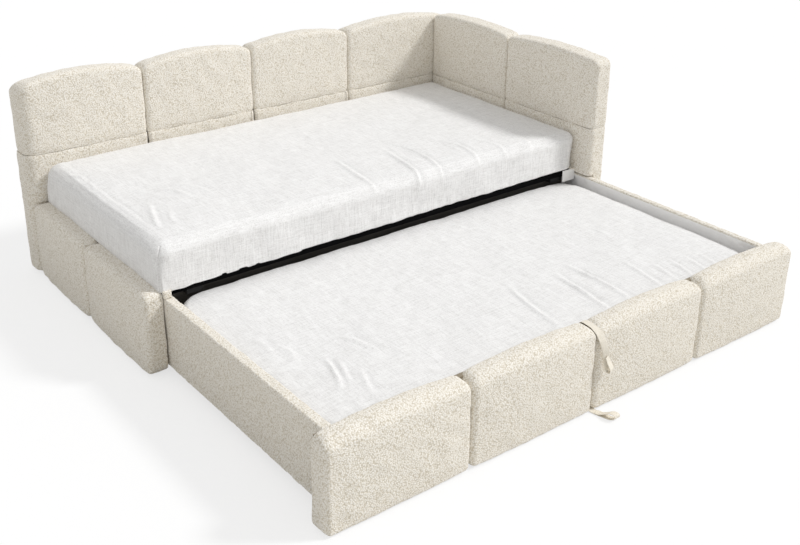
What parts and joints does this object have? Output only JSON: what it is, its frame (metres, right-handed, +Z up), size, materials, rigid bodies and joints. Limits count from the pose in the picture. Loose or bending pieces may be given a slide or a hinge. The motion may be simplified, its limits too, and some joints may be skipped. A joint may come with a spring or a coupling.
{
  "type": "daybed with trundle",
  "caption": "Upholstered corner daybed with a padded back, side wall and low rail, and a pull-out trundle bed on casters under its slatted deck.",
  "frame": {"origin": "on the floor, midway along the overall width and the overall length with the trundle pulled out", "axes": "+X along the back towards the side wall, +Y from the trundle's front to the back, +Z up"},
  "size_m": [2.084, 2.194, 0.812],
  "materials": {
    "boucle": "cream looped boucle, nubbly and soft",
    "sheet": "white linen-weave fitted sheet with fine slubs",
    "webbing": "cream flat woven webbing",
    "black_steel": "matt black powder coat",
    "black_board": "board with a matt black laminate",
    "timber": "planed pine and ply, unvarnished",
    "black_timber": "pine painted matt black",
    "taupe_ply": "ply painted taupe to match the cover's ground",
    "zinc_steel": "bright zinc plate",
    "black_plastic": "moulded black nylon",
    "rubber": "soft black rubber"
  },
  "bodies": {
    "daybed": {"back_posts": "timber", "back_rails": "timber", "back_upper_pad_1": "boucle", "back_upper_pad_2": "boucle", "back_upper_pad_3": "boucle", "back_upper_pad_4": "boucle", "back_lower_pad_1": "boucle", "back_lower_pad_2": "boucle", "back_lower_pad_3": "boucle", "back_lower_pad_4": "boucle", "back_skirt": "boucle", "back_cover": "boucle", "wall_posts": "timber", "wall_rails": "timber", "wall_upper_pad_1": "boucle", "wall_upper_pad_2": "boucle", "wall_lower_pad_1": "boucle", "wall_lower_pad_2": "boucle", "wall_skirt": "boucle", "wall_cover": "boucle", "low_rail_board": "taupe_ply", "low_rail_pad_1": "boucle", "low_rail_pad_2": "boucle", "front_rail": "black_steel", "front_slat_ledge": "black_steel", "rear_slat_ledger": "timber", "deck_slats": "timber", "trundle_stops": "black_timber", "corner_brackets": "zinc_steel", "frame_screws": "zinc_steel", "front_rail_screws": "black_steel", "glide_feet": "black_plastic", "upper_mattress": "sheet"},
    "trundle": {"front_board": "taupe_ply", "front_pad_1": "boucle", "front_pad_2": "boucle", "front_pad_3": "boucle", "front_pad_4": "boucle", "left_side_board": "timber", "left_side_cover": "boucle", "right_side_board": "timber", "right_side_cover": "boucle", "rear_panel": "black_board", "cross_beams": "timber", "trundle_slats": "timber", "corner_blocks": "timber", "trundle_screws": "zinc_steel", "trundle_mattress": "sheet", "upper_pull_strap": "webbing", "lower_pull_strap": "webbing", "strap_plates": "zinc_steel", "bumpers": "rubber", "caster_forks": "zinc_steel", "caster_axles": "zinc_steel", "small_screws": "zinc_steel"},
    "wheel_1": {"caster_wheel_1": "black_plastic"},
    "wheel_2": {"caster_wheel_2": "black_plastic"},
    "wheel_3": {"caster_wheel_3": "black_plastic"},
    "wheel_4": {"caster_wheel_4": "black_plastic"}
  },
  "joints": [
    {"name": "trundle_slide", "type": "slide", "parent": "daybed", "child": "trundle", "axis": [0, 1, 0], "range_m": [0, 0.86]},
    {"name": "wheel_1_spin", "type": "hinge", "parent": "trundle", "child": "wheel_1", "pos_m": [-0.76, -0.903, 0.022], "axis": [1, 0, 0], "continuous": true},
    {"name": "wheel_2_spin", "type": "hinge", "parent": "trundle", "child": "wheel_2", "pos_m": [0.77, -0.903, 0.022], "axis": [1, 0, 0], "continuous": true},
    {"name": "wheel_3_spin", "type": "hinge", "parent": "trundle", "child": "wheel_3", "pos_m": [-0.76, 0.035, 0.022], "axis": [1, 0, 0], "continuous": true},
    {"name": "wheel_4_spin", "type": "hinge", "parent": "trundle", "child": "wheel_4", "pos_m": [0.77, 0.035, 0.022], "axis": [1, 0, 0], "continuous": true}
  ],
  "couplings": [
    {"joint": "wheel_1_spin", "follows": "trundle_slide", "rad_per_m": -45.455},
    {"joint": "wheel_2_spin", "follows": "trundle_slide", "rad_per_m": -45.455},
    {"joint": "wheel_3_spin", "follows": "trundle_slide", "rad_per_m": -45.455},
    {"joint": "wheel_4_spin", "follows": "trundle_slide", "rad_per_m": -45.455}
  ]
}
